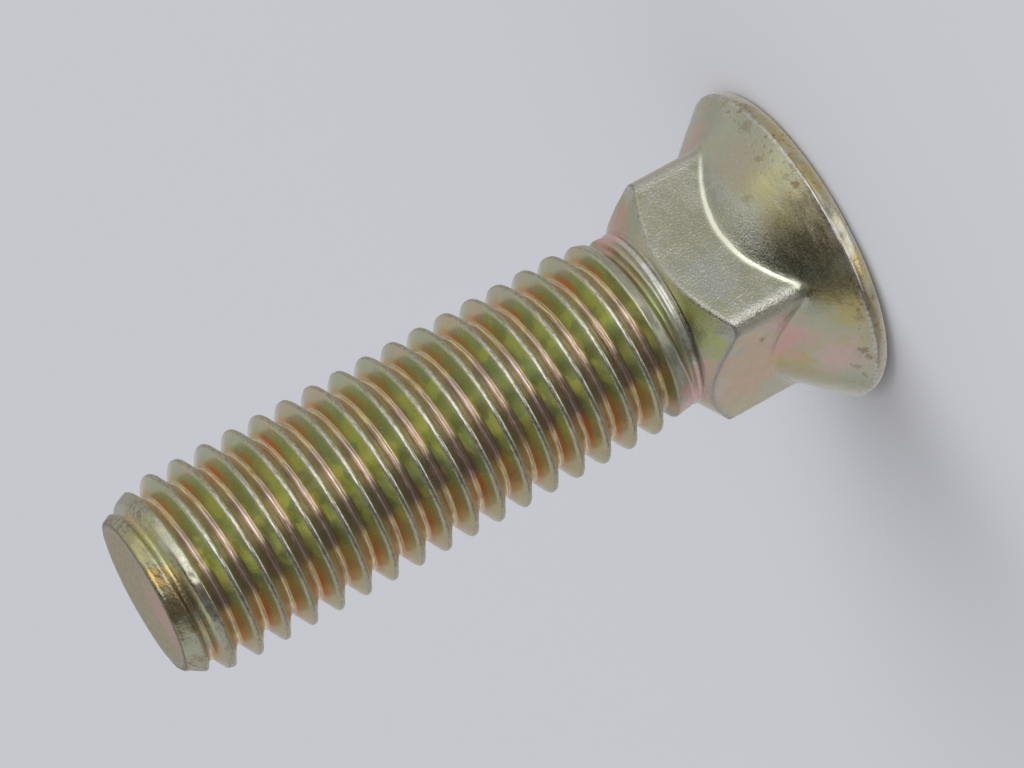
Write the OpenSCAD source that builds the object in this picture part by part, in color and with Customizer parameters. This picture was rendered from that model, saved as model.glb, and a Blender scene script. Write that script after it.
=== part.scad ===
// Plough bolt: round countersunk head, square neck and coarse right-hand thread, forged in one piece.
// It stands on the flat top of its head: Z is zero there, and the shank points up along Z.

/* [Bolt] */
// Overall length, from the top of the head to the end of the shank
overall_length = 57.4; // [45:0.1:80]

/* [Head] */
// Diameter of the head
head_d = 25.8; // [24:0.1:30]
// Height of the straight rim round the head
rim_h = 1.4; // [1.3:0.1:2.5]
// Rounding of the rim's edge at the head's flat top
rim_top_r = 0.7; // [0.2:0.1:0.9]
// Rounding of the rim's edge at the cone
rim_low_r = 0.5; // [0.2:0.1:0.9]
// Included angle of the countersunk cone
cone_angle = 82; // [76:1:90]

/* [Square neck] */
// Width of the neck across its flats
neck_w = 15.2; // [14.8:0.1:16.8]
// Rounding of the neck's four corners
neck_corner_r = 1.2; // [0.5:0.1:2]
// Depth from the top of the head to the end of each flat, at its middle
neck_depth = 12.7; // [11:0.1:16]
// Slope of the shoulder that cuts the neck's corners off, from a plane across the bolt
shoulder_slope = 36; // [25:1:45]
// Rounding where the shoulder cuts a corner
shoulder_tip_r = 0.6; // [0.2:0.1:1]

/* [Waist] */
// Diameter of the plain blank between the neck and the thread
blank_d = 14.4; // [13.9:0.1:14.6]
// Radius of the hollow where the shoulder meets the waist
waist_r = 0.8; // [0.3:0.1:1.2]
// Length of the plain waist past that hollow
waist_h = 0.5; // [0.3:0.1:2]

/* [Thread] */
// Outer diameter of the thread
thread_d = 15.7; // [15.4:0.05:15.9]
// Turns of the thread in an inch
threads_per_inch = 11; // [10:1:12]
// Length over which the thread fades out towards the waist
fade_length = 3.6; // [2:0.1:6]
// Diameter of the flat end of the shank
end_d = 12.2; // [11:0.1:13]
// Slope of the lead-in at the end of the shank, from the bolt's axis
lead_in_slope = 29; // [20:1:40]

/* [Hidden] */
$fn = 96;

inch = 25.4;
head_r = head_d / 2;
cone_half = cone_angle / 2;
blank_r = blank_d / 2;
thread_r = thread_d / 2;
end_r = end_d / 2;
half_neck = neck_w / 2;

// Steps in each rounded corner of a turned outline
arc_steps = 5;

// Unified thread form: sixty degree flanks, a crest an eighth of the pitch wide, and a rounded root
pitch = inch / threads_per_inch;
flank_angle = 30;
crest_w = pitch / 8;
thread_depth = 0.6134 * pitch;
flank_w = thread_depth * tan(flank_angle);
root_r = thread_r - thread_depth;

// Facets round one turn of the thread
turn_steps = 48;
// The threaded core runs this far into the waist, this much thinner, so that the two join inside it
core_overlap = 0.4;
core_gap = 0.02;

// Height of the cone at a radius
function cone_z(r) = rim_h + (head_r - r) / tan(cone_half);
// Height of the shoulder at a radius
function shoulder_z(r) = neck_depth + (half_neck - r) * tan(shoulder_slope);

// Points of an arc round a centre, from one angle to another
function arc(cx, cz, r, from, to) = [
    for (i = [0:arc_steps])
        let (a = from + (to - from) * i / arc_steps)
            [cx + r * cos(a), cz + r * sin(a)]
];

// Centre of the small rounding between rim and cone, which faces half the cone's angle upwards
low_cx = head_r - rim_low_r;
low_cz = rim_h - rim_low_r * tan(cone_half / 2);

// Half turned outline of the head: flat top, rounded rim and cone, closed on the axis inside the neck
head_outline = concat(
    [[0, 0]],
    arc(head_r - rim_top_r, rim_top_r, rim_top_r, -90, 0),
    arc(low_cx, low_cz, rim_low_r, 0, cone_half),
    [[blank_r, cone_z(blank_r)], [0, cone_z(blank_r)]]
);

// The hollow between shoulder and waist: its centre lies outside the waist by its radius
hollow_cx = blank_r + waist_r;
hollow_top = shoulder_z(hollow_cx) + waist_r / cos(shoulder_slope);
waist_end = hollow_top + waist_h;
// A corner of the neck reaches this far, and is rounded there into the shoulder
corner_reach = (half_neck - neck_corner_r) * sqrt(2) + neck_corner_r;
tip_cx = corner_reach - shoulder_tip_r;
tip_cz = shoulder_z(tip_cx) - shoulder_tip_r / cos(shoulder_slope);

// Half turned outline of the neck and waist: the square bar is trimmed to it
neck_outline = concat(
    [[0, rim_h], [corner_reach, rim_h]],
    arc(tip_cx, tip_cz, shoulder_tip_r, 0, 90 - shoulder_slope),
    arc(hollow_cx, hollow_top, waist_r, 270 - shoulder_slope, 180),
    [[blank_r, waist_end], [0, waist_end]]
);

// Thread: rows of points follow the helix, four to a turn, at the edges of the crest and of the root
row_shift = [-crest_w / 2, crest_w / 2, crest_w / 2 + flank_w, pitch - crest_w / 2 - flank_w];
row_r = [thread_r, thread_r, root_r, root_r];
rows = len(row_shift);

thread_start = waist_end;
core_z = waist_end - core_overlap;
core_r = blank_r - core_gap;
// The first row starts a turn below the core and the last ends a turn above the shank's end
first_row = rows * (floor(core_z / pitch) - 1);
last_row = rows * (ceil(overall_length / pitch) + 1);

// Share of the full thread at a height: none in the waist, all of it past the fade
function fade(z) =
    let (s = min(1, max(0, (z - thread_start) / fade_length)))
        s * s * (3 - 2 * s);
// Radius that the lead-in cone leaves at a height
function lead_in_r(z) = end_r + (overall_length - z) * tan(lead_in_slope);

// Height of row k at step j of its turn, before it is held between the core and the end
function row_z(k, j) =
    let (i = (k % rows + rows) % rows, turn = floor(k / rows))
        turn * pitch + row_shift[i] + pitch * j / turn_steps;
function held_z(k, j) = min(overall_length, max(core_z, row_z(k, j)));
function row_radius(k, z) =
    let (i = (k % rows + rows) % rows, full = core_r + fade(z) * (row_r[i] - core_r))
        z >= overall_length ? end_r : min(full, lead_in_r(z));

function thread_point(k, j) =
    let (z = held_z(k, j), r = row_radius(k, z), a = 360 * j / turn_steps)
        [r * cos(a), r * sin(a), z];

// A turn's last column is the first column of the rows one turn on
function column(j) = j % turn_steps;
function row_at(k, j) = j < turn_steps ? k : k + rows;
function point_index(k, j) =
    let (kk = row_at(k, j), jj = column(j), z = row_z(kk, jj))
        z <= core_z ? jj :
        z >= overall_length ? turn_steps + jj :
        2 * turn_steps + (kk - first_row) * turn_steps + jj;

module threaded_core() {
    rim_points = [
        for (end = [0, 1], j = [0:turn_steps - 1])
            let (a = 360 * j / turn_steps, r = end == 0 ? core_r : end_r)
                [r * cos(a), r * sin(a), end == 0 ? core_z : overall_length]
    ];
    row_points = [
        for (k = [first_row:last_row + rows], j = [0:turn_steps - 1])
            thread_point(k, j)
    ];
    quads = [
        for (k = [first_row:last_row - 1], j = [0:turn_steps - 1])
            [point_index(k, j), point_index(k + 1, j), point_index(k + 1, j + 1), point_index(k, j + 1)]
    ];
    triangles = [
        for (q = quads, t = [[q[0], q[1], q[2]], [q[0], q[2], q[3]]])
            if (t[0] != t[1] && t[1] != t[2] && t[0] != t[2]) t
    ];
    caps = [
        [for (j = [0:turn_steps - 1]) j],
        [for (j = [turn_steps - 1:-1:0]) turn_steps + j]
    ];
    polyhedron(points = concat(rim_points, row_points), faces = concat(triangles, caps));
}

module countersunk_head() {
    rotate_extrude() polygon(head_outline);
}

module neck_section() {
    inner = half_neck - neck_corner_r;
    square([neck_w, 2 * inner], center = true);
    square([2 * inner, neck_w], center = true);
    for (x = [-inner, inner], y = [-inner, inner])
        translate([x, y]) circle(neck_corner_r, $fn = 32);
}

module square_neck() {
    intersection() {
        linear_extrude(waist_end) neck_section();
        rotate_extrude() polygon(neck_outline);
    }
}

module plow_bolt() {
    color("#a59f7c") {
        countersunk_head();
        square_neck();
        threaded_core();
    }
}

plow_bolt();
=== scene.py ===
"""A plow bolt with yellow zinc plating: countersunk head, square neck and right-hand rolled thread.

Lengths in the shape code are in millimetres and become metres when the mesh is made.
"""

import math

import bmesh
import bpy
import numpy as np
from mathutils import Matrix, Vector, noise


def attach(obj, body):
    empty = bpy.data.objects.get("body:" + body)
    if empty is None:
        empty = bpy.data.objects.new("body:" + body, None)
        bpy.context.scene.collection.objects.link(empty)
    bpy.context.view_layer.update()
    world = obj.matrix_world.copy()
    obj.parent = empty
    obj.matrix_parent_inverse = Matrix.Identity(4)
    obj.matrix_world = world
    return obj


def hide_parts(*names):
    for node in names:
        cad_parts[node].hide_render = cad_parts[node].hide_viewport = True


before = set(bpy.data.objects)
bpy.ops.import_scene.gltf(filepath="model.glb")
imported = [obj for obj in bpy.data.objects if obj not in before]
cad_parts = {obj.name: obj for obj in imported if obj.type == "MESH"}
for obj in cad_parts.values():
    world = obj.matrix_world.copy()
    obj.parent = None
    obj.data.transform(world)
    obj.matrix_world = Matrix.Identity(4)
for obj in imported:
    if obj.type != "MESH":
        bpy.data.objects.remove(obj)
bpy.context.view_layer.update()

MM = 0.001

# The bolt's own sizes, as in its solid, where only the waist is 7.2 and the lead-in 29 degrees
LENGTH = 57.4
HEAD_R = 12.9
RIM_H = 1.4
HALF_NECK = 7.6
CORNER_R = 1.2
NECK_DEPTH = 12.7
SHOULDER_SLOPE = math.radians(36)
BLANK_R = 7.2
THREAD_R = 7.85
PITCH = 25.4 / 11
CREST_W = PITCH / 8
THREAD_DEPTH = 0.6134 * PITCH
FLANK = math.tan(math.radians(30))
WAIST_END = 13.74
WAIST_R = 7.12
END_R = 6.1
END_EDGE = 0.36
LEAD_SLOPE = math.tan(math.radians(35))
# The lead-in lowers the last crests over this length before it cuts them
LEAD_ROUND = 2.5

# The rim is a quarter ellipse, cut off where it meets the cone: its half axes, and where it starts
RIM_CURVE_H = 2.03
RIM_CURVE_W = 1.12
RIM_START = math.radians(21)
# The cone's loss of radius for each millimetre of height, and how its side bends inwards
CONE_FALL = 0.8
CONE_BEND = 0.014
# Widths of the roundings on the forging
RIM_ROUND = 0.14
CONE_FOOT_ROUND = 0.42
SHOULDER_ROUND = 0.22
WAIST_ROUND = 0.16
# The low uneven burr at the rim's edge and the ring round the waist: height, place and width
BURR_H = 0.055
BURR_Z = 1.36
BURR_W = 0.13
RING_H = 0.13
RING_Z = 13.42
RING_W = 0.17
# Height above the waist at which the thread has its full root, and its full crest
ROOT_FADE = 1.45
CREST_FADE = 4.1
# Heights between which the film of the waist gives way to the full thread's
FULL_FROM = 15.6
FULL_AT = 16.4

# Points round the bolt, and the distance within which points are joined
COLUMNS = 144
WELD = 0.002


class Wire:
    """An output of a node. Sums, differences, products and quotients on it add Math nodes to its tree."""

    def __init__(self, tree, socket=None):
        self.tree = tree
        self.socket = socket

    def node(self, kind, settings=(), sockets=(), output=0):
        """Adds a node, sets its settings, then the values or links of its sockets, and returns one output."""
        made = self.tree.nodes.new(kind)
        for name, value in dict(settings).items():
            setattr(made, name, value)
        for name, value in dict(sockets).items():
            if isinstance(value, Wire):
                self.tree.links.new(value.socket, made.inputs[name])
            else:
                made.inputs[name].default_value = value
        return Wire(self.tree, made.outputs[output] if made.outputs else None)

    def math(self, operation, *values):
        """A Math node on this output and up to two more values."""
        return self.node("ShaderNodeMath", {"operation": operation}, enumerate((self, *values)))

    def __add__(self, other):
        return self.math("ADD", other)

    __radd__ = __add__

    def __sub__(self, other):
        return self.math("SUBTRACT", other)

    def __rsub__(self, other):
        return self.math("MULTIPLY_ADD", -1, other)

    def __mul__(self, other):
        return self.math("MULTIPLY", other)

    __rmul__ = __mul__

    def __truediv__(self, other):
        return self.math("DIVIDE", other)

    def step(self, low, high):
        """A smooth rise from 0 at low to 1 at high, or a fall from 1 to 0 where low is above high."""
        settings = {"interpolation_type": "SMOOTHSTEP"}
        if low > high:
            return self.node("ShaderNodeMapRange", settings, {0: self, 1: high, 2: low, 3: 1, 4: 0})
        return self.node("ShaderNodeMapRange", settings, {0: self, 1: low, 2: high, 3: 0, 4: 1})

    def mix(self, colour, other):
        """A colour that goes from the first to the other as this factor goes from 0 to 1."""
        return self.node("ShaderNodeMix", {"data_type": "RGBA"}, {0: self, 6: colour, 7: other}, output=2)

    def tint(self, colour, factor):
        """This colour times another one, as far as the factor says."""
        settings = {"data_type": "RGBA", "blend_type": "MULTIPLY"}
        return self.node("ShaderNodeMix", settings, {0: factor, 6: self, 7: colour}, output=2)


# The rolled thread


def thread_sizes():
    """The thread's sizes in millimetres, and the turns that its strip needs."""
    shank_end = LENGTH - END_EDGE
    first = math.floor(WAIST_END / PITCH) - 1
    return {
        "Pitch": PITCH,
        "Crest radius": THREAD_R,
        "Crest width": CREST_W,
        "Depth": THREAD_DEPTH,
        "Crest rounding": 0.16,
        "Worn crest rounding": 0.3,
        "Root rounding": 0.3,
        "Waist end": WAIST_END,
        "Waist radius": WAIST_R,
        "Waist rise": 0.3,
        "Blank radius": BLANK_R,
        "Root fade": ROOT_FADE,
        "Crest fade": CREST_FADE,
        "Shank end": shank_end,
        "End radius": END_R + END_EDGE * LEAD_SLOPE,
        "Lead-in slope": LEAD_SLOPE,
        "Lead-in rounding": LEAD_ROUND,
        "Lead-in edge": 0.14,
        "Worn from": 3.4,
        "Worn to": 1.2,
        "First turn": first,
        "Turns": math.ceil(shank_end / PITCH) - first + 1,
    }


THREAD_COUNTS = {"Columns": COLUMNS, "Rows": 22}


def thread_tree(plating):
    """A strip one pitch wide is wound along the helix, so that its two edges meet from turn to turn."""
    tree = bpy.data.node_groups.new("rolled_thread", "GeometryNodeTree")
    tree.interface.new_socket(name="Thread", in_out="OUTPUT", socket_type="NodeSocketGeometry")
    for name in thread_sizes():
        tree.interface.new_socket(name=name, in_out="INPUT", socket_type="NodeSocketFloat")
    for name in THREAD_COUNTS:
        tree.interface.new_socket(name=name, in_out="INPUT", socket_type="NodeSocketInt")
    given = tree.nodes.new("NodeGroupInput")
    size = {plug.name: Wire(tree, plug) for plug in given.outputs if plug.name}
    turns = size["Turns"]

    strip = Wire(tree).node(
        "GeometryNodeMeshGrid",
        {},
        {0: turns, 1: 1, 2: turns * size["Columns"] + 1, 3: size["Rows"] + 1},
    )
    flat = Wire(tree).node("GeometryNodeInputPosition")
    along = flat.node("ShaderNodeSeparateXYZ", {}, {0: flat}) + turns / 2
    across = flat.node("ShaderNodeSeparateXYZ", {}, {0: flat}, output=1) + 0.5
    z = (size["First turn"] + along + across) * size["Pitch"]
    z = z.math("MAXIMUM", size["Waist end"]).math("MINIMUM", size["Shank end"])

    # Towards the waist the groove grows shallow and the crest low, so the last turns have wide flat crests
    height = z - size["Waist end"]
    deepest = size["Crest radius"] - size["Depth"]
    root = size["Blank radius"] + (height / size["Root fade"]).step(0, 1) * (deepest - size["Blank radius"])
    rise = size["Crest radius"] - size["Blank radius"]
    crest = size["Blank radius"] + (height / size["Crest fade"]).step(0, 1) * rise
    lead_in = size["End radius"] + (size["Shank end"] - z) * size["Lead-in slope"]
    crest = crest.math("SMOOTH_MIN", lead_in, size["Lead-in rounding"])

    # Two flanks between a rounded root and a rounded crest, which is rounder near the shank's end
    root_half = (size["Pitch"] - size["Crest width"]) / 2 - size["Depth"] * FLANK
    from_root = (across - 0.5).math("ABSOLUTE") * size["Pitch"]
    radius = root + (from_root - root_half) / FLANK
    to_end = size["Shank end"] - z
    near_end = to_end.node(
        "ShaderNodeMapRange",
        {"interpolation_type": "SMOOTHSTEP"},
        {0: to_end, 1: size["Worn to"], 2: size["Worn from"], 3: 1, 4: 0},
    )
    rounding = size["Crest rounding"] + near_end * size["Worn crest rounding"]
    radius = radius.math("SMOOTH_MIN", crest, rounding)
    radius = radius.math("SMOOTH_MAX", root, size["Root rounding"])
    above_waist = (height / size["Waist rise"]).step(0, 1)
    radius = size["Waist radius"] + above_waist * (radius - size["Waist radius"])
    radius = radius.math("SMOOTH_MIN", lead_in, size["Lead-in edge"])

    angle = along.math("FRACT") * math.tau
    place = flat.node(
        "ShaderNodeCombineXYZ",
        {},
        {0: radius * angle.math("COSINE"), 1: radius * angle.math("SINE"), 2: z},
    )
    wound = strip.node("GeometryNodeSetPosition", {}, {"Geometry": strip, "Position": place})
    welded = wound.node("GeometryNodeMergeByDistance", {}, {"Geometry": wound, "Distance": WELD})
    real = welded.node("GeometryNodeRealizeInstances", {}, {"Geometry": welded})
    dressed = real.node("GeometryNodeSetMaterial", {}, {"Geometry": real, "Material": plating})
    dressed.node("NodeGroupOutput", {}, {0: dressed})
    return tree


def thread_mesh(plating):
    """The thread from the waist to the shank's rounded end, in millimetres, as a plain mesh."""
    values = thread_sizes() | THREAD_COUNTS
    carrier = bpy.data.objects.new("thread", bpy.data.meshes.new("thread"))
    bpy.context.scene.collection.objects.link(carrier)
    winding = carrier.modifiers.new("thread", "NODES")
    winding.node_group = thread_tree(plating)
    for item in winding.node_group.interface.items_tree:
        if item.in_out == "INPUT":
            kind = type(winding[item.identifier])
            winding[item.identifier] = kind(values[item.name])
    graph = bpy.context.evaluated_depsgraph_get()
    mesh = bpy.data.meshes.new_from_object(carrier.evaluated_get(graph))
    bpy.data.objects.remove(carrier)
    return mesh


# Head, neck and end, as rings of points round the axis


def soft_min(a, b, width):
    """The lesser of two lengths, with the corner between them rounded over that width."""
    h = np.maximum(width - np.abs(a - b), 0) / width
    return np.minimum(a, b) - h * h * width / 4


def soft_max(a, b, width):
    """The greater of two lengths, with the corner between them rounded over that width."""
    return -soft_min(-a, -b, width)


def ridge(z, middle, width):
    """A low bead round the bolt: 1 at its middle, and nearly nothing at twice its width from there."""
    return np.exp(-(((z - middle) / width) ** 2))


def square_radius(angle):
    """Distance from the axis to the square neck's side, with its rounded corners."""
    off = (angle + math.pi / 4) % (math.pi / 2) - math.pi / 4
    inner = HALF_NECK - CORNER_R
    to_corner = math.pi / 4 - np.abs(off)
    reach = inner * math.sqrt(2)
    side = CORNER_R**2 - (reach * np.sin(to_corner)) ** 2
    corner = reach * np.cos(to_corner) + np.sqrt(np.maximum(side, 0))
    return np.where(np.abs(off) > math.atan2(inner, HALF_NECK), corner, HALF_NECK / np.cos(off))


def forged_radius(z, angle):
    """Radius of the rim, cone, neck and shoulder at a height and angle."""
    up = z - RIM_H
    cone = HEAD_R - CONE_FALL * up - CONE_BEND * up * np.abs(up)
    humps, turned = 3, math.radians(112)
    burr = BURR_H * (0.5 + 0.5 * np.cos(humps * (angle + turned)))
    head = soft_min(cone, HEAD_R, RIM_ROUND) + burr * ridge(z, BURR_Z, BURR_W)
    bar = soft_max(head, square_radius(angle), CONE_FOOT_ROUND)
    shoulder = HALF_NECK - (z - NECK_DEPTH) / math.tan(SHOULDER_SLOPE)
    waist = WAIST_R + RING_H * ridge(z, RING_Z, RING_W)
    return soft_max(soft_min(bar, shoulder, SHOULDER_ROUND), waist, WAIST_ROUND)


def forged_rings():
    """Rings of (radius, height, angles) from the head's flat top to the waist."""
    even = np.arange(COLUMNS) * math.tau / COLUMNS
    fine, plain = 0.045, 0.09
    cone_start, shoulder_start = 1.6, 12.8
    rings = []
    for r in (4, 8, 10.5, 11.4):
        rings.append((np.full(COLUMNS, r), 0.0, even))
    for a in np.linspace(math.pi / 2, RIM_START, 15):
        r = HEAD_R - RIM_CURVE_W * (math.cos(RIM_START) - math.cos(a))
        rings.append((np.full(COLUMNS, r), RIM_CURVE_H * (1 - math.sin(a)), even))
    rim_edge = RIM_CURVE_H * (1 - math.sin(RIM_START))
    levels = (
        np.arange(rim_edge + 0.03, cone_start, fine),
        np.arange(cone_start, shoulder_start, plain),
        np.arange(shoulder_start, WAIST_END - 0.02, fine),
    )
    for z in np.concatenate(levels):
        # On the neck the points gather towards its four corners
        gather = min(1, max(0, (z - 1.5) / 3)) * min(1, (WAIST_END - z) / 1.5)
        angle = even + 0.18 * gather * np.sin(4 * even)
        rings.append((forged_radius(z, angle), z, angle))
    rings.append((np.full(COLUMNS, WAIST_R), WAIST_END, even))
    return rings


def end_rings():
    """Rings of the shank's end: a small rounded edge and the flat face."""
    even = np.arange(COLUMNS) * math.tau / COLUMNS
    outer = END_R + END_EDGE * LEAD_SLOPE
    steps = 4
    rings = []
    for i in range(steps + 1):
        a = math.pi / 2 * i / steps
        r = outer - END_EDGE * (1 - math.cos(a))
        rings.append((np.full(COLUMNS, r), LENGTH - END_EDGE * (1 - math.sin(a)), even))
    for r in (5.4, 4.4, 3.0, 1.5):
        rings.append((np.full(COLUMNS, r), LENGTH, even))
    return rings


def ring_mesh(name, rings, pole_first):
    """Joins rings of points to each other, and closes one end on the axis."""
    points = []
    for radius, z, angle in rings:
        points += list(zip(radius * np.cos(angle), radius * np.sin(angle), np.full(COLUMNS, z)))
    faces = []
    for i in range(len(rings) - 1):
        for j in range(COLUMNS):
            k = (j + 1) % COLUMNS
            low, high = i * COLUMNS, (i + 1) * COLUMNS
            faces.append((low + j, low + k, high + k, high + j))
    pole = rings[0] if pole_first else rings[-1]
    start = 0 if pole_first else (len(rings) - 1) * COLUMNS
    points.append((0, 0, pole[1]))
    for j in range(COLUMNS):
        faces.append((len(points) - 1, start + (j + 1) % COLUMNS, start + j))
    mesh = bpy.data.meshes.new(name)
    mesh.from_pydata(points, [], faces)
    return mesh


# Small dents from handling: angle round the axis in degrees, height, radius and depth
DENTS = (
    (-112, 7.3, 0.35, 0.08),
    (-150, 8.6, 0.3, 0.07),
    (-118, 1.1, 0.4, 0.1),
    (-71, 46.6, 0.2, 0.2),
    (-117, 54.7, 0.15, 0.1),
    (-98, 43.9, 0.2, 0.12),
    (-104, 21.1, 0.25, 0.14),
    (-131, 34.6, 0.3, 0.12),
    (-60, 29.1, 0.2, 0.14),
    (20, 9.5, 0.35, 0.08),
    (75, 30.2, 0.25, 0.14),
    (110, 41.8, 0.2, 0.16),
    (160, 1.0, 0.4, 0.1),
)


def unevenness(z):
    """Depth of the waves in the surface: forged head, rolled shank, and sheared edge of the shank's end."""
    if z > LENGTH - 0.8:
        return 0.08
    return 0.03 if z < WAIST_END - 1 else 0.02


def wear(shell):
    """The waves and the dents, pushed into the surface. The flat top that the bolt stands on stays flat."""
    lowest, innermost = 0.02, 5
    for v in shell.verts:
        reach = math.hypot(v.co.x, v.co.y)
        if v.co.z > lowest and reach > innermost:
            out = Vector((v.co.x, v.co.y, 0)) / reach
            wave = noise.noise(v.co * 0.9) + 0.5 * noise.noise(v.co * 2.3)
            v.co += out * unevenness(v.co.z) * wave
    for angle, z, spread, depth in DENTS:
        a = math.radians(angle)
        out = Vector((math.cos(a), math.sin(a), 0))
        for v in shell.verts:
            away = v.co.z - z
            if abs(away) < 3 * spread and v.co.z > lowest and v.co.dot(out) > 0:
                side = v.co.cross(out).z
                v.co -= out * depth * math.exp(-(side**2 + away**2) / (2 * spread**2))


def bolt_mesh(plating):
    """One closed mesh of the whole bolt, in metres."""
    parts = (
        thread_mesh(plating),
        ring_mesh("forged", forged_rings(), True),
        ring_mesh("end", end_rings(), False),
    )
    shell = bmesh.new()
    for part in parts:
        shell.from_mesh(part)
        bpy.data.meshes.remove(part)
    bmesh.ops.remove_doubles(shell, verts=shell.verts, dist=WELD)
    bmesh.ops.recalc_face_normals(shell, faces=shell.faces)
    wear(shell)
    bmesh.ops.scale(shell, vec=(MM, MM, MM), verts=shell.verts)
    mesh = bpy.data.meshes.new("zinc_plow_bolt")
    shell.to_mesh(mesh)
    shell.free()
    mesh.shade_smooth()
    mesh.materials.clear()
    mesh.materials.append(plating)
    return mesh


# Finish: colours of the chromate film on the zinc

GREY = (0.51, 0.505, 0.43, 1)
BEIGE = (0.58, 0.52, 0.34, 1)
SAGE = (0.50, 0.52, 0.38, 1)
PINK = (0.70, 0.49, 0.43, 1)
ROSE = (0.74, 0.41, 0.36, 1)
SALMON = (0.67, 0.43, 0.28, 1)
GOLD = (0.58, 0.47, 0.17, 1)
STRAW = (0.52, 0.49, 0.24, 1)
OLIVE = (0.45, 0.50, 0.20, 1)
LEAF = (0.42, 0.56, 0.25, 1)
LIME = (0.68, 0.77, 0.22, 1)
MOSS = (0.58, 0.61, 0.22, 1)
RUST = (0.72, 0.34, 0.14, 1)
BROWN = (0.30, 0.22, 0.12, 1)
AMBER = (0.74, 0.50, 0.16, 1)
MAUVE = (0.46, 0.31, 0.26, 1)
TAN = (0.56, 0.47, 0.33, 1)
UMBER = (0.38, 0.32, 0.20, 1)
PEWTER = (0.45, 0.46, 0.42, 1)
KHAKI = (0.42, 0.41, 0.31, 1)
SILVER = (0.56, 0.57, 0.54, 1)
PALE_SILVER = (0.62, 0.60, 0.53, 1)
DRAB = (0.39, 0.355, 0.19, 1)
FERN = (0.39, 0.40, 0.21, 1)
APRICOT = (0.74, 0.50, 0.29, 1)
PALE_SAGE = (0.50, 0.51, 0.43, 1)
DUSTY_ROSE = (0.64, 0.44, 0.39, 1)
BRASS = (0.70, 0.55, 0.28, 1)
PALE_BRASS = (0.92, 0.81, 0.49, 1)
BRONZE = (0.64, 0.46, 0.30, 1)
COPPER = (0.47, 0.30, 0.25, 1)
PALE_COPPER = (0.68, 0.59, 0.56, 1)
DARK_COPPER = (0.34, 0.20, 0.15, 1)
# The colour of the painted shade in the hollow between shoulder and waist
CREASE_SHADE = (0.19, 0.17, 0.14, 1)

# The camera's side of the shank. There and opposite it the thread has more lime patches, partly film colour
# and partly a painted highlight, and its crests a lighter silver, a painted highlight
FRONT = math.radians(-114)
# Stains larger than this have soft edges that wander far, and the others firmer ones that wander less
SMALL_STAIN = 0.6
FAR_DRIFT = 5
NEAR_DRIFT = 1.2

# Stains in the film: angle round the axis in degrees, height, size and colour
HEAD_STAINS = (
    (-34, 4.6, 2.4, PINK),
    (-46, 2.2, 1.5, GREY),
    (-58, 5.2, 1.8, SAGE),
    (-73, 4.3, 2.4, TAN),
    (-86, 5.4, 1.2, STRAW),
    (-88, 2.9, 1.8, STRAW),
    (-92, 6.0, 1.6, SAGE),
    (-104, 3.4, 1.4, STRAW),
    (-120, 3.4, 2.4, UMBER),
    (-145, 3.6, 1.2, SAGE),
    (-143, 2.4, 2.1, GOLD),
    (-162, 2.8, 1.4, STRAW),
    (-158, 3.8, 1.4, SAGE),
    (-172, 3.6, 2.2, PINK),
    (-152, 6.2, 1.4, PINK),
    (-140, 7.4, 0.9, ROSE),
    (-177, 6.6, 1.6, GOLD),
    (-158, 6.6, 1.3, ROSE),
    (-170, 7.4, 1.3, ROSE),
    (-156, 10.2, 2.4, SALMON),
    (170, 9.2, 2.8, SALMON),
    (-148, 10.8, 0.8, GREY),
    (-104, 12.5, 1.2, MOSS),
    (-114, 12.4, 1.1, OLIVE),
    (-126, 12.4, 1.9, MOSS),
    (-139, 12.2, 1.5, OLIVE),
    (-84, 12.9, 1.3, SAGE),
    (-42, 12.9, 1.5, ROSE),
    (-24, 12.9, 1.2, PINK),
    (-158, 13.2, 1.0, ROSE),
    (175, 13.2, 1.7, PINK),
    (-12, 4.2, 2.0, SAGE),
    (0, 9.2, 2.4, SALMON),
    (22, 3.0, 1.6, STRAW),
    (44, 4.4, 2.2, PINK),
    (52, 9.4, 2.2, GREY),
    (80, 3.6, 2.0, SAGE),
    (92, 12.6, 1.7, MOSS),
    (112, 2.9, 1.6, STRAW),
    (120, 9.2, 1.8, SAGE),
    (138, 4.8, 1.9, PINK),
    (20, 12.9, 1.4, PINK),
    (-87, 4.9, 0.45, UMBER),
    (-80, 2.9, 0.35, UMBER),
    (-93, 2.2, 0.4, UMBER),
    (-97, 2.0, 0.3, BROWN),
    (-66, 2.0, 0.5, UMBER),
    (-104, 2.2, 0.5, UMBER),
    (-136, 4.3, 0.4, BROWN),
    (-150, 2.0, 0.45, UMBER),
    (-166, 2.2, 0.4, BROWN),
    (-170, 1.9, 0.3, BROWN),
    (-176, 2.6, 0.4, UMBER),
    (-152, 8.4, 0.25, BROWN),
    (30, 2.2, 0.5, BROWN),
    (105, 4.8, 0.4, UMBER),
)
END_STAINS = (
    (-43, 56.5, 1.2, GREY),
    (-80, 56.8, 1.6, STRAW),
    (-95, 55.4, 1.3, SAGE),
    (-127, 55.6, 1.3, UMBER),
    (-110, 56.8, 0.7, AMBER),
    (-103, 57.0, 0.4, AMBER),
    (-132, 56.9, 1.5, BROWN),
    (-140, 56.8, 0.9, UMBER),
    (-161, 56.5, 1.6, SAGE),
    (-117, 55.9, 0.4, BROWN),
    (-104, 56.1, 0.3, BROWN),
    (-88, 56.4, 0.35, UMBER),
    (-147, 56.2, 0.35, BROWN),
    (-113, 54.9, 0.3, BROWN),
    (-119, 54.7, 0.25, UMBER),
    (-108, 55.2, 0.25, UMBER),
    (20, 56.6, 1.6, SALMON),
    (75, 56.4, 1.7, STRAW),
    (128, 56.7, 1.4, GOLD),
)
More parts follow.
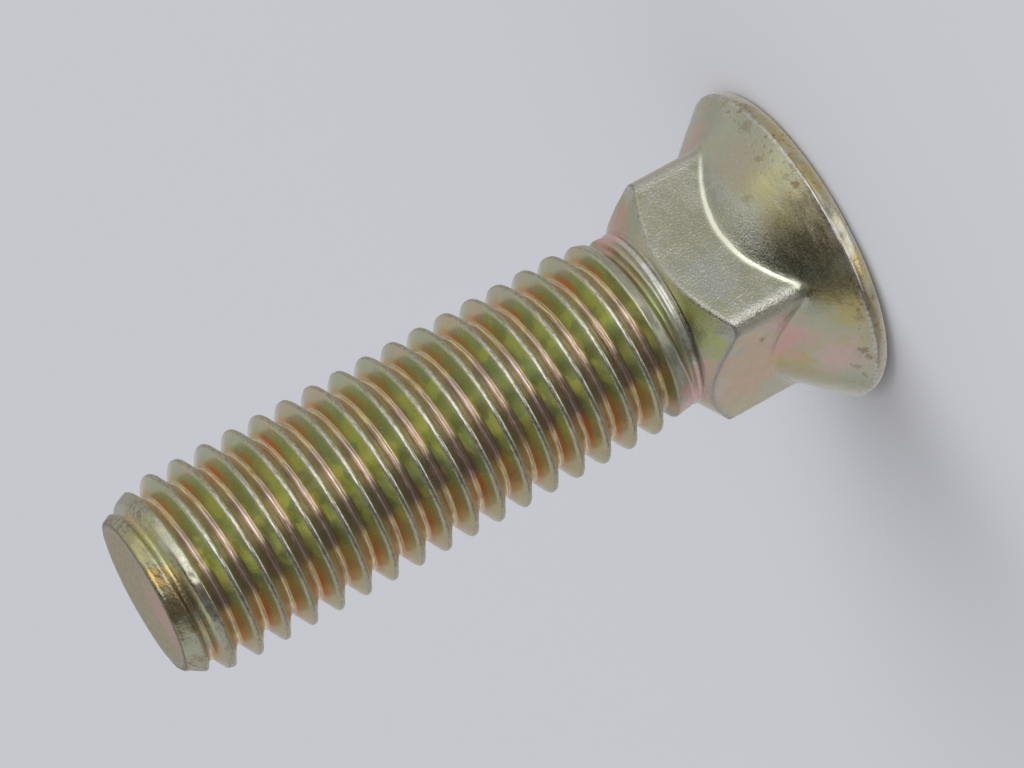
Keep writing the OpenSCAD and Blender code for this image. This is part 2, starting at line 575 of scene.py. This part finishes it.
RIM_STAINS = (
    (-60, 1.0, 1.0, UMBER),
    (-76, 0.9, 1.3, GOLD),
    (-90, 1.1, 0.7, UMBER),
    (-98, 0.7, 0.9, GOLD),
    (-111, 1.1, 1.0, SILVER),
    (-122, 0.8, 1.3, SILVER),
    (-133, 0.4, 0.8, GOLD),
    (-147, 1.1, 1.2, UMBER),
    (-164, 0.9, 1.2, TAN),
    (178, 1.2, 1.0, UMBER),
    (20, 0.9, 1.6, GOLD),
    (70, 1.0, 1.4, UMBER),
    (120, 0.8, 1.6, GOLD),
)
# The two grainy flats of the neck, which face across Y, have stains of their own
FLAT_STAINS = (
    (-106, 10.6, 2.2, PEWTER),
    (-117, 9.4, 1.7, PEWTER),
    (-126, 8.6, 1.3, KHAKI),
    (-116, 7.2, 1.0, KHAKI),
    (-72, 9.6, 2.0, KHAKI),
    (-133, 9.6, 1.1, SILVER),
    (-131, 7.0, 0.9, SILVER),
    (70, 8.6, 2.2, PEWTER),
    (112, 10.0, 1.8, KHAKI),
)
# The blank between the shoulder and the first full turn of the thread
WAIST_STAINS = (
    (-50, 13.3, 1.4, ROSE),
    (-30, 13.6, 1.8, ROSE),
    (-74, 13.6, 1.1, TAN),
    (-145, 13.3, 0.6, UMBER),
    (-160, 14.0, 1.1, ROSE),
    (178, 13.7, 1.8, ROSE),
    (70, 13.6, 1.6, GOLD),
)


class BoltSkin:
    """The bolt's surface as its finish sees it: places in millimetres, noises, and masks of its regions."""

    def __init__(self, make):
        self.make = make
        coords = make.node("ShaderNodeTexCoord", output=3)
        self.place = make.node("ShaderNodeMapping", {}, {"Vector": coords, "Scale": (1 / MM,) * 3})
        x, y, z = (make.node("ShaderNodeSeparateXYZ", {}, {0: self.place}, output=i) for i in range(3))
        self.x, self.y, self.z = x, y, z
        self.radius = (x * x + y * y).math("SQRT")
        self.wide = self.cloud(0.2, 2)
        self.patch = self.cloud(0.5, 3, 0.55, self.shifted(31))
        self.grain = self.cloud(5, 2, 0.6)
        self.speck = self.cloud(2.2, 3, 0.7, self.shifted(11))
        self.far = self.wandering(0.6, FAR_DRIFT)
        self.near = self.wandering(2.6, NEAR_DRIFT)
        self.face = z.step(LENGTH - 0.1, LENGTH - 0.03)
        self.follow_thread()
        self.mark_thread()
        self.mark_forging()

    def cloud(self, scale, detail, roughness=0.55, vector=None, output=0):
        """Noise with about scale spots to a millimetre."""
        sockets = {"Vector": vector or self.place, "Scale": scale, "Detail": detail, "Roughness": roughness}
        return self.make.node("ShaderNodeTexNoise", {}, sockets, output)

    def shifted(self, step):
        """The place, moved so that noise there differs from noise at the place itself."""
        return self.make.node("ShaderNodeMapping", {}, {"Vector": self.place, "Location": (step, 7, -step)})

    def wandering(self, scale, drift):
        """The place, moved by noise by up to this drift, and by half of it on average."""
        moves = self.cloud(scale, 1.5, 0.55, self.shifted(53), output=1)
        sockets = {0: moves, 1: (drift, drift, drift), 2: self.place}
        return self.make.node("ShaderNodeVectorMath", {"operation": "MULTIPLY_ADD"}, sockets)

    def unrolled(self, across, along):
        """A flat pattern that follows the helix."""
        return self.make.node("ShaderNodeCombineXYZ", {}, {0: across, 1: along})

    def follow_thread(self):
        """Place across the groove in millimetres, 0 at the root's middle, and noises drawn out along it."""
        turn = self.y.math("ARCTAN2", self.x) / math.tau
        winding = self.z / PITCH - turn
        phase = winding.math("FRACT")
        along = (winding - phase + turn) * math.tau * BLANK_R
        crest_phase = (winding + 0.5).math("FRACT")
        crest_along = (winding - crest_phase + turn) * math.tau * BLANK_R
        self.across = (phase - 0.5) * PITCH
        self.off_root = self.across.math("ABSOLUTE")
        self.head_side = self.across.step(-0.05, 0.05)
        self.flakes = self.cloud(4.5, 3, 0.65, self.unrolled(crest_phase * PITCH, crest_along * 0.4))
        self.streak = self.cloud(8, 2, 0.6, self.unrolled(self.across, along * 0.035))
        band = self.unrolled(self.across * 0.5, along * 0.3)
        self.sheen = self.cloud(0.55, 2, 0.55, band)
        self.blot = self.cloud(1.1, 2, 0.6, band)

    def mark_thread(self):
        """The thread's crests, roots, waist and lead-in, and the sides of the shank."""
        x, y, z, radius = self.x, self.y, self.z, self.radius
        grain, patch, streak = self.grain, self.patch, self.streak
        # How far the surface lies under the crest, which the run-out and the lead-in lower
        lead_r = END_R + (LENGTH - z) * LEAD_SLOPE
        crest_r = BLANK_R + ((z - WAIST_END) / CREST_FADE).step(0, 1) * (THREAD_R - BLANK_R)
        self.under = crest_r.math("SMOOTH_MIN", lead_r, LEAD_ROUND) - radius
        self.lead_in = z.step(LENGTH - 2.8, LENGTH - 1.8)
        self.threaded = (z + (grain - 0.5) * 0.3).step(NECK_DEPTH + 0.3, NECK_DEPTH + 0.5)
        self.full = (z + (patch - 0.5)).step(FULL_FROM, FULL_AT)
        self.crest = (self.under + (grain - 0.5) * 0.14).step(0.11, 0.04) * self.full
        root = (self.off_root + (streak - 0.5) * 0.12).step(0.25, 0.17)
        self.root = root * self.full * z.step(LENGTH - 1.6, LENGTH - 2)
        self.ring = z.step(RING_Z - 0.32, RING_Z - 0.22) * z.step(RING_Z + 0.36, RING_Z + 0.24)
        # Front is 1 on the camera's side of the shank and -1 behind, and side is 1 and -1 between them
        self.front = (x * math.cos(FRONT) + y * math.sin(FRONT)) / radius
        self.side = (y * math.cos(FRONT) - x * math.sin(FRONT)) / radius
        self.front_most = (self.front.math("ABSOLUTE") + (self.sheen - 0.5) * 0.3).step(0.78, 0.9)

    def mark_forging(self):
        """The neck's two grainy flats, its corners, the seam under the cone with its painted highlight, the
        shoulder's edge with its painted shade, and the rim's burr.
        """
        x_side, y_side = self.x.math("ABSOLUTE"), self.y.math("ABSOLUTE")
        z, radius = self.z, self.radius
        neck = z.step(4.5, 6) * z.step(NECK_DEPTH + 0.2, NECK_DEPTH - 0.4)
        self.flat = y_side.step(HALF_NECK - 0.35, HALF_NECK - 0.15) * neck * radius.step(10.6, 10.2)
        self.corner = x_side.math("MINIMUM", y_side).step(5.9, 6.6) * neck
        self.under_corner = self.corner * x_side.step(HALF_NECK - 0.6, HALF_NECK - 0.3)
        up = z - RIM_H
        cone_gap = radius - HEAD_R + up * CONE_FALL + up * up * CONE_BEND
        # The seam between the grainy flats and the cone, where a highlight is painted
        self.seam = cone_gap.step(0.03, 0.08) * cone_gap.step(0.5, 0.2) * self.flat
        shoulder_gap = HALF_NECK - (z - NECK_DEPTH) / math.tan(SHOULDER_SLOPE) - radius
        low_neck = z.step(10, 10.6)
        # The shoulder's edge, where a dark line of shade is painted
        self.brink = shoulder_gap.step(0.02, 0.06) * shoulder_gap.step(0.3, 0.16) * low_neck
        self.side_brink = (
            x_side.step(HALF_NECK - 0.35, HALF_NECK - 0.15) * shoulder_gap.step(0.9, 0.3) * low_neck
        )
        self.burr = z.step(RIM_H - 0.18, RIM_H - 0.06) * z.step(RIM_H + 0.26, RIM_H + 0.1)

    def stained(self, under_it, stains, radius_at, strength):
        """A colour with soft-edged stains in it, whose outlines noise moves."""
        for angle, level, reach, colour in stains:
            a = math.radians(angle)
            r = radius_at(a, level)
            if reach > SMALL_STAIN:
                place, middle, soft = self.far, FAR_DRIFT / 2, 0.75
            else:
                place, middle, soft = self.near, NEAR_DRIFT / 2, 0.5
            centre = (r * math.cos(a) + middle, r * math.sin(a) + middle, level + middle)
            sockets = {0: place, 1: centre}
            gap = self.make.node("ShaderNodeVectorMath", {"operation": "DISTANCE"}, sockets, output=1)
            inside = gap.step(reach * (0.95 + soft), reach * (0.95 - soft))
            under_it = (inside * strength).mix(under_it, colour)
        return under_it


def coppery_roots(skin):
    """A painted highlight along the root's middle, and dark streaks beside it."""
    patch, streak, front_most = skin.patch, skin.streak, skin.front_most
    middle = (skin.across + (patch - 0.5) * 0.2).math("ABSOLUTE")
    # Painted highlight: a pale line along the root's middle
    bright = (middle + (streak - 0.5) * 0.12).step(0.12, 0.03)
    copper = bright.mix(front_most.mix(BRASS, COPPER), front_most.mix(PALE_BRASS, PALE_COPPER))
    copper = (patch.step(0.45, 0.6) * 0.3).mix(copper, BRONZE)
    return (streak.step(0.5, 0.64) * 0.6).mix(copper, DARK_COPPER)


def rolled_thread_film(skin):
    """Flanks green towards the shank's end and duller towards the head, rust beside the coppery roots."""
    sheen, blot, patch = skin.sheen, skin.blot, skin.patch
    side, front_most = skin.side, skin.front_most
    green = sheen.step(0.42, 0.52).mix(OLIVE, LEAF)
    # Lime patches, most on the camera's side and opposite it: partly film colour, partly a painted highlight
    green = (blot.step(0.48, 0.55) * (0.25 + front_most * 0.75)).mix(green, LIME)
    green = (patch.step(0.5, 0.66) * 0.3).mix(green, BEIGE)
    flank = skin.head_side.mix(green, blot.step(0.4, 0.6).mix(DRAB, FERN))
    low_side = side.step(-0.5, -0.75)
    flank = (low_side * 0.5).mix(flank, APRICOT)

    rusty = (side.step(0, -0.5) + side.step(0.6, 0.8)) * (0.4 + skin.front.step(-0.6, 0.2) * 0.6)
    edge = (skin.off_root + (skin.streak - 0.5) * 0.25 - rusty * 0.07).step(0.54, 0.30) * skin.full
    rust = edge * (0.5 + rusty * 0.45) * (0.4 + sheen.step(0.4, 0.6) * 0.6)
    flank = rust.mix(flank, front_most.mix(RUST, MAUVE))
    thread = skin.root.mix(flank, coppery_roots(skin))

    # Paler towards the crests, and on the two sides of the shank, where the flanks are seen edge-on from the
    # camera: there the pale film is a painted reflection
    pale = sheen.step(0.44, 0.54).mix(PALE_SAGE, DUSTY_ROSE)
    near_crest = (skin.under + (patch - 0.5) * 0.5).step(0.6, 0.1)
    painted_side_reflection = (side.math("ABSOLUTE") + (patch - 0.5) * 0.5 - low_side * 0.2).step(0.76, 0.92)
    thread = (near_crest * 0.35).mix(thread, pale)
    return (painted_side_reflection * (1 - edge) * 0.6).mix(thread, pale)


def waist_film(skin):
    """The waist with its ring, and the flat crests, lips with a painted highlight, and shallow grooves of the
    last turns.
    """
    under, speck = skin.under, skin.speck
    film = (skin.flakes.step(0.56, 0.4) * 0.6).mix((0.45, 0.45, 0.36, 1), (0.36, 0.34, 0.23, 1))
    groove = skin.patch.step(0.4, 0.6).mix((0.33, 0.36, 0.18, 1), (0.40, 0.33, 0.18, 1))
    film = under.step(0.05, 0.12).mix(film, groove)
    # Painted highlight: a pale band on the crests' edge that faces the head
    lip = under.step(0.0, 0.03) * under.step(0.11, 0.06) * skin.head_side
    film = lip.mix(film, (0.78, 0.74, 0.69, 1))
    ring = speck.step(0.35, 0.65).mix((0.66, 0.67, 0.67, 1), (0.50, 0.50, 0.44, 1))
    film = skin.ring.mix(film, ring)
    return skin.stained(film, WAIST_STAINS, lambda a, level: BLANK_R, 0.85)


def silver_crests(skin):
    """Bare zinc on the crests, where the film is rubbed off, with darker flakes. On the camera's side of the
    shank and opposite it the silver is lighter, a painted highlight.
    """
    silver = skin.front_most.mix((0.50, 0.47, 0.33, 1), (0.62, 0.60, 0.50, 1))
    return (skin.flakes.step(0.58, 0.38) * 0.8).mix(silver, (0.34, 0.31, 0.24, 1))


def lead_in_film(skin):
    """The cut cone at the shank's end, pitted and brown, and pale on its two sides as a painted reflection.
    """
    film = skin.patch.step(0.4, 0.6).mix((0.41, 0.39, 0.23, 1), (0.43, 0.42, 0.34, 1))
    # Painted pale reflection on the two sides of the shank
    film = (skin.side.math("ABSOLUTE").step(0.6, 0.95) * 0.6).mix(film, (0.54, 0.50, 0.40, 1))
    film = (skin.blot.step(0.5, 0.6) * 0.5).mix(film, (0.27, 0.24, 0.13, 1))
    film = (skin.speck.step(0.50, 0.58) * 0.85).mix(film, (0.28, 0.23, 0.13, 1))
    return (skin.flakes.step(0.55, 0.62) * 0.5).mix(film, GOLD)


def shank_film(skin):
    """The film from the waist to the lead-in."""
    film = rolled_thread_film(skin)
    film = ((1 - skin.full) * 0.9).mix(film, waist_film(skin))
    film = skin.crest.mix(film, silver_crests(skin))
    film = (skin.lead_in * skin.under.step(0.6, 0.2)).mix(film, lead_in_film(skin))
    return skin.stained(film, END_STAINS, lambda a, level: END_R + (LENGTH - level) * LEAD_SLOPE, 0.85)


def neck_film(skin, film):
    """The flats that face across Y are greyer and grainier. The corners are pale silver, with painted light
    beside the flats that face across X; the seam under the cone has a painted highlight, the shoulder's edge
    painted shade, and a grey mottled band lies along that edge on the flats facing X.
    """
    dull = (skin.wide + (skin.speck - 0.5) * 0.3).step(0.45, 0.62).mix(GREY, KHAKI)
    dull = (skin.speck.step(0.46, 0.62) * 0.6).mix(dull, (0.45, 0.44, 0.28, 1))
    dull = skin.stained(dull, FLAT_STAINS, lambda a, level: HALF_NECK / max(0.7, abs(math.sin(a))), 0.8)
    film = (skin.flat * 0.9).mix(film, dull)
    film = (skin.corner * 0.75).mix(film, PALE_SILVER)
    # Painted light on the corners beside the flats that face across X, which lightens their dark reflection
    film = (skin.under_corner * 0.7).mix(film, (0.80, 0.74, 0.62, 1))
    # Painted highlight along the seam under the cone
    film = (skin.seam * 0.85).mix(film, (0.88, 0.88, 0.72, 1))
    # Painted shade: a dark line along the shoulder's edge
    film = (skin.brink * 0.7).mix(film, (0.30, 0.28, 0.24, 1))
    return (skin.side_brink * skin.speck.step(0.3, 0.6) * 0.7).mix(film, (0.42, 0.41, 0.37, 1))


def rim_film(skin, film):
    """The rim is golden with brown stains, its burr silver, and the cone beside it scuffed."""
    z, speck = skin.z, skin.speck
    rim = speck.step(0.35, 0.65).mix((0.54, 0.51, 0.42, 1), (0.60, 0.49, 0.24, 1))
    rim = skin.stained(rim, RIM_STAINS, lambda a, level: HEAD_R, 0.7)
    film = (z.step(RIM_H + 0.35, RIM_H + 0.1) * 0.85).mix(film, rim)
    burr = speck.step(0.4, 0.65).mix((0.66, 0.65, 0.60, 1), (0.42, 0.39, 0.33, 1))
    film = (skin.burr * 0.75).mix(film, burr)
    scuff = speck.step(0.58, 0.64) * z.step(RIM_H + 2, RIM_H + 0.4) * (1 - skin.burr * 0.6)
    return (scuff * 0.75).mix(film, BROWN)


def forged_film(skin):
    """Head, neck and shoulder: a pale olive beige with stains."""
    film = skin.wide.step(0.40, 0.60).mix(BEIGE, SAGE)
    film = (skin.patch.step(0.52, 0.66) * 0.35).mix(film, STRAW)
    film = skin.stained(film, HEAD_STAINS, lambda a, level: float(forged_radius(level, np.array(a))), 0.75)
    return rim_film(skin, neck_film(skin, film))


def end_face_film(skin):
    """The flat end of the shank: a pink blush on mottled olive, and a brown edge."""
    x, y, radius, speck = skin.x, skin.y, skin.radius, skin.speck
    blush_x, blush_y = -3.2, -2.4
    gap = ((x - blush_x) * (x - blush_x) + (y - blush_y) * (y - blush_y)).math("SQRT")
    film = speck.step(0.42, 0.56).mix((0.27, 0.29, 0.12, 1), (0.46, 0.33, 0.16, 1))
    blush = (gap + (skin.patch - 0.5) * 6).step(4.0, 1.4)
    film = (blush * 0.75).mix(film, (0.57, 0.31, 0.25, 1))
    film = (radius + (skin.grain - 0.5) * 1.2).step(5.2, 5.8).mix(film, (0.42, 0.38, 0.29, 1))
    return (radius + (speck - 0.5) * 1.2).step(5.75, 5.95).mix(film, (0.26, 0.22, 0.13, 1))


def painted_shade_in_crease(skin, film):
    """The hollow between shoulder and waist is painted dark as shade, least so at the shank's two sides."""
    level = skin.z - NECK_DEPTH + (skin.grain - 0.5) * 0.1
    crease = level.step(0.18, 0.28) * level.step(0.56, 0.44)
    front = skin.side.step(0.7, 0.2) * skin.side.step(-0.9, -0.5)
    return (crease * (0.2 + front * 0.6)).mix(film, CREASE_SHADE)


def yellow_zinc():
    """Zinc plating with a yellow chromate film: silver where the film is rubbed off, green and coppery in the
    thread.
    """
    material = bpy.data.materials.new("yellow_zinc_steel")
    material.use_nodes = True
    material.node_tree.nodes.clear()
    make = Wire(material.node_tree)
    skin = BoltSkin(make)
    grain, flat, corner, seam = skin.grain, skin.flat, skin.corner, skin.seam
    threaded, crest, root, face = skin.threaded, skin.crest, skin.root, skin.face
    run_out = threaded * (1 - skin.full)
    forging = (1 - threaded) * (1 - face)

    film = threaded.mix(forged_film(skin), shank_film(skin))
    # Painted shade in the hollow between shoulder and waist
    film = face.mix(painted_shade_in_crease(skin, film), end_face_film(skin))
    pits, glints = grain.step(0.36, 0.27), grain.step(0.60, 0.72)
    film = film.tint((0.62, 0.58, 0.48, 1), pits * 0.6)
    # Painted glints: pale specks in the colour, most on the forging and the grainy flats
    film = (glints * (0.04 + forging * 0.16 + flat * 0.2)).mix(film, (0.86, 0.84, 0.74, 1))

    rough = 0.22 + forging * 0.02 + corner * 0.1 + crest * 0.05 + face * 0.15 + (grain - 0.5) * 0.25
    rough = rough + skin.under_corner * 0.2 - seam * 0.08 - root * 0.07
    rough = rough + threaded * (1 - skin.full - skin.ring * 0.9) * 0.1
    coarse = 0.16 + forging * 0.4 + (flat - seam * 0.8) * 2.4 + corner * 2.5
    coarse = coarse + face * 2.2 + skin.lead_in * threaded * 2
    relief = grain * coarse + skin.flakes * (crest * 1.2 + run_out) + skin.speck * skin.lead_in * 2
    relief = relief + skin.streak * threaded * (0.3 + root * 7)
    bare = 0.97 - threaded * (1 - crest) * (1 - face) * 0.15
    bump = make.node("ShaderNodeBump", {}, {"Strength": 1.0, "Distance": 0.000014, "Height": relief})
    sockets = {"Base Color": film, "Metallic": bare, "Roughness": rough, "Normal": bump}
    shader = make.node("ShaderNodeBsdfPrincipled", {}, sockets)
    make.node("ShaderNodeOutputMaterial", {}, {"Surface": shader})
    return material


plating = yellow_zinc()
bolt = bpy.data.objects.new("zinc_plow_bolt", bolt_mesh(plating))
bpy.context.scene.collection.objects.link(bolt)
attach(bolt, "root")
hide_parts("plow_bolt")


# Studio

BACKGROUND = (0.571, 0.578, 0.624, 1)
FLOOR_COLOUR = (0.6, 0.607, 0.655, 1)
# The camera's side of the bolt, in degrees round its axis
CAMERA_AZIMUTH = -113.8


def plain_floor():
    """A pale floor that keeps the bolt's shadow. Metal sees the same pale world in its place."""
    mesh = bpy.data.meshes.new("floor")
    half = 4
    corners = [(-half, -half, 0), (half, -half, 0), (half, half, 0), (-half, half, 0)]
    mesh.from_pydata(corners, [], [(0, 1, 2, 3)])
    floor = bpy.data.objects.new("floor", mesh)
    bpy.context.scene.collection.objects.link(floor)
    material = bpy.data.materials.new("pale_floor")
    material.use_nodes = True
    material.node_tree.nodes.clear()
    make = Wire(material.node_tree)
    shader = make.node("ShaderNodeBsdfDiffuse", {}, {"Color": FLOOR_COLOUR})
    make.node("ShaderNodeOutputMaterial", {}, {"Surface": shader})
    mesh.materials.append(material)
    floor.visible_glossy = False


def pale_world():
    """Even light for the floor, and the background's own colour for the camera and for metal."""
    world = bpy.data.worlds.new("studio")
    bpy.context.scene.world = world
    world.use_nodes = True
    world.node_tree.nodes.clear()
    make = Wire(world.node_tree)
    ray = world.node_tree.nodes.new("ShaderNodeLightPath")
    seen = Wire(world.node_tree, ray.outputs["Is Camera Ray"])
    for name in ("Is Glossy Ray", "Is Transmission Ray"):
        seen = seen.math("MAXIMUM", Wire(world.node_tree, ray.outputs[name]))
    light = make.node("ShaderNodeBackground", {}, {"Color": (1, 1, 1, 1), "Strength": 0.6})
    shown = make.node("ShaderNodeBackground", {}, {"Color": BACKGROUND, "Strength": 1})
    both = make.node("ShaderNodeMixShader", {}, {0: seen, 1: light, 2: shown})
    make.node("ShaderNodeOutputWorld", {}, {"Surface": both})


def soft_sun():
    """A broad soft light from above, which gives the floor its faint shadow."""
    sun = bpy.data.lights.new("window", "SUN")
    sun.energy = 1.5
    sun.angle = math.radians(60)
    lamp = bpy.data.objects.new("window", sun)
    bpy.context.scene.collection.objects.link(lamp)
    lamp.rotation_euler = Vector((0.55, -0.45, 0.75)).to_track_quat("Z", "Y").to_euler()
    lamp.visible_glossy = False


def panel(name, turn, rise, strength):
    """Part of a light tent round the bolt, seen only as a reflection in metal.

    turn is its range of angles round the bolt from the camera's side, rise its range above the horizon.
    """
    steps = 12
    middle = 0.03
    points = []
    for i in range(steps + 1):
        for j in range(steps + 1):
            a = math.radians(CAMERA_AZIMUTH + turn[0] + (turn[1] - turn[0]) * i / steps)
            e = math.radians(rise[0] + (rise[1] - rise[0]) * j / steps)
            points.append((math.cos(a) * math.cos(e), math.sin(a) * math.cos(e), math.sin(e) + middle))
    faces = []
    for i in range(steps):
        for j in range(steps):
            k = i * (steps + 1) + j
            faces.append((k, k + 1, k + steps + 2, k + steps + 1))
    mesh = bpy.data.meshes.new(name)
    mesh.from_pydata(points, [], faces)
    material = bpy.data.materials.new(name)
    material.use_nodes = True
    material.node_tree.nodes.clear()
    make = Wire(material.node_tree)
    glow = make.node("ShaderNodeEmission", {}, {"Color": (1, 1, 1, 1), "Strength": strength})
    make.node("ShaderNodeOutputMaterial", {}, {"Surface": glow})
    mesh.materials.append(material)
    card = bpy.data.objects.new(name, mesh)
    bpy.context.scene.collection.objects.link(card)
    card.visible_camera = False
    card.visible_diffuse = False
    card.visible_shadow = False


def camera():
    """A long lens on the photograph's side, rolled so that the bolt lies across the picture."""
    place = Vector((-0.14681, -0.33319, 0.11407))
    target = Vector((0.00067, -0.0003, 0.02524))
    roll = math.radians(-118.72)
    sensor_width = 36
    focal_pixels, picture_pixels = 5000, 1024
    back = (place - target).normalized()
    right = Vector((0, 0, 1)).cross(back).normalized()
    up = back.cross(right)
    side = right * math.cos(roll) + up * math.sin(roll)
    top = back.cross(side)
    lens = bpy.data.cameras.new("camera")
    lens.sensor_width = sensor_width
    lens.lens = focal_pixels / picture_pixels * sensor_width
    lens.clip_end = 20
    eye = bpy.data.objects.new("camera", lens)
    bpy.context.scene.collection.objects.link(eye)
    turned = Matrix((side, top, back)).transposed().to_4x4()
    eye.matrix_world = Matrix.Translation(place) @ turned
    bpy.context.scene.camera = eye


# The light tent's panels: name, range round the bolt, range above the horizon, and strength
PANELS = (
    ("bright_window", (-8, 32), (-20, 38), 1.7),
    ("window_foot", (15, 34), (-50, -20), 1.4),
    ("window_head", (-9, 36), (38, 56), 0.62),
    ("window_glow", (32, 75), (0, 54), 0.95),
    ("low_glow", (34, 75), (-50, 0), 0.6),
    ("low_window", (-56, -4), (-80, -50), 1.4),
    ("low_room", (-4, 90), (-88, -50), 0.5),
    ("dark_room", (-70, -14), (-27, 36), 0.14),
    ("dark_floor", (-70, -38), (-50, -27), 0.14),
    ("lit_floor", (-38, -11), (-50, -27), 1.05),
    ("dark_foot", (-11, 13), (-50, -20), 0.2),
    ("dim_corner", (-45, -10), (36, 55), 0.3),
    ("dark_corner", (-72, -45), (36, 55), 0.12),
    ("dark_ceiling", (-84, 10), (55, 78), 0.025),
    ("dim_ceiling", (10, 44), (56, 78), 0.2),
    ("ceiling", (-180, 180), (78, 90), 0.36),
    ("left_side", (-122, -70), (-50, 4), 0.33),
    ("right_side", (78, 132), (-50, 10), 0.48),
    ("back_window", (132, 168), (-20, 60), 0.47),
    ("back_shade", (-172, -138), (0, 50), 0.47),
)

plain_floor()
pale_world()
soft_sun()
for name, turn, rise, strength in PANELS:
    panel(name, turn, rise, strength)
camera()

bpy.context.scene.view_settings.view_transform = "Standard"
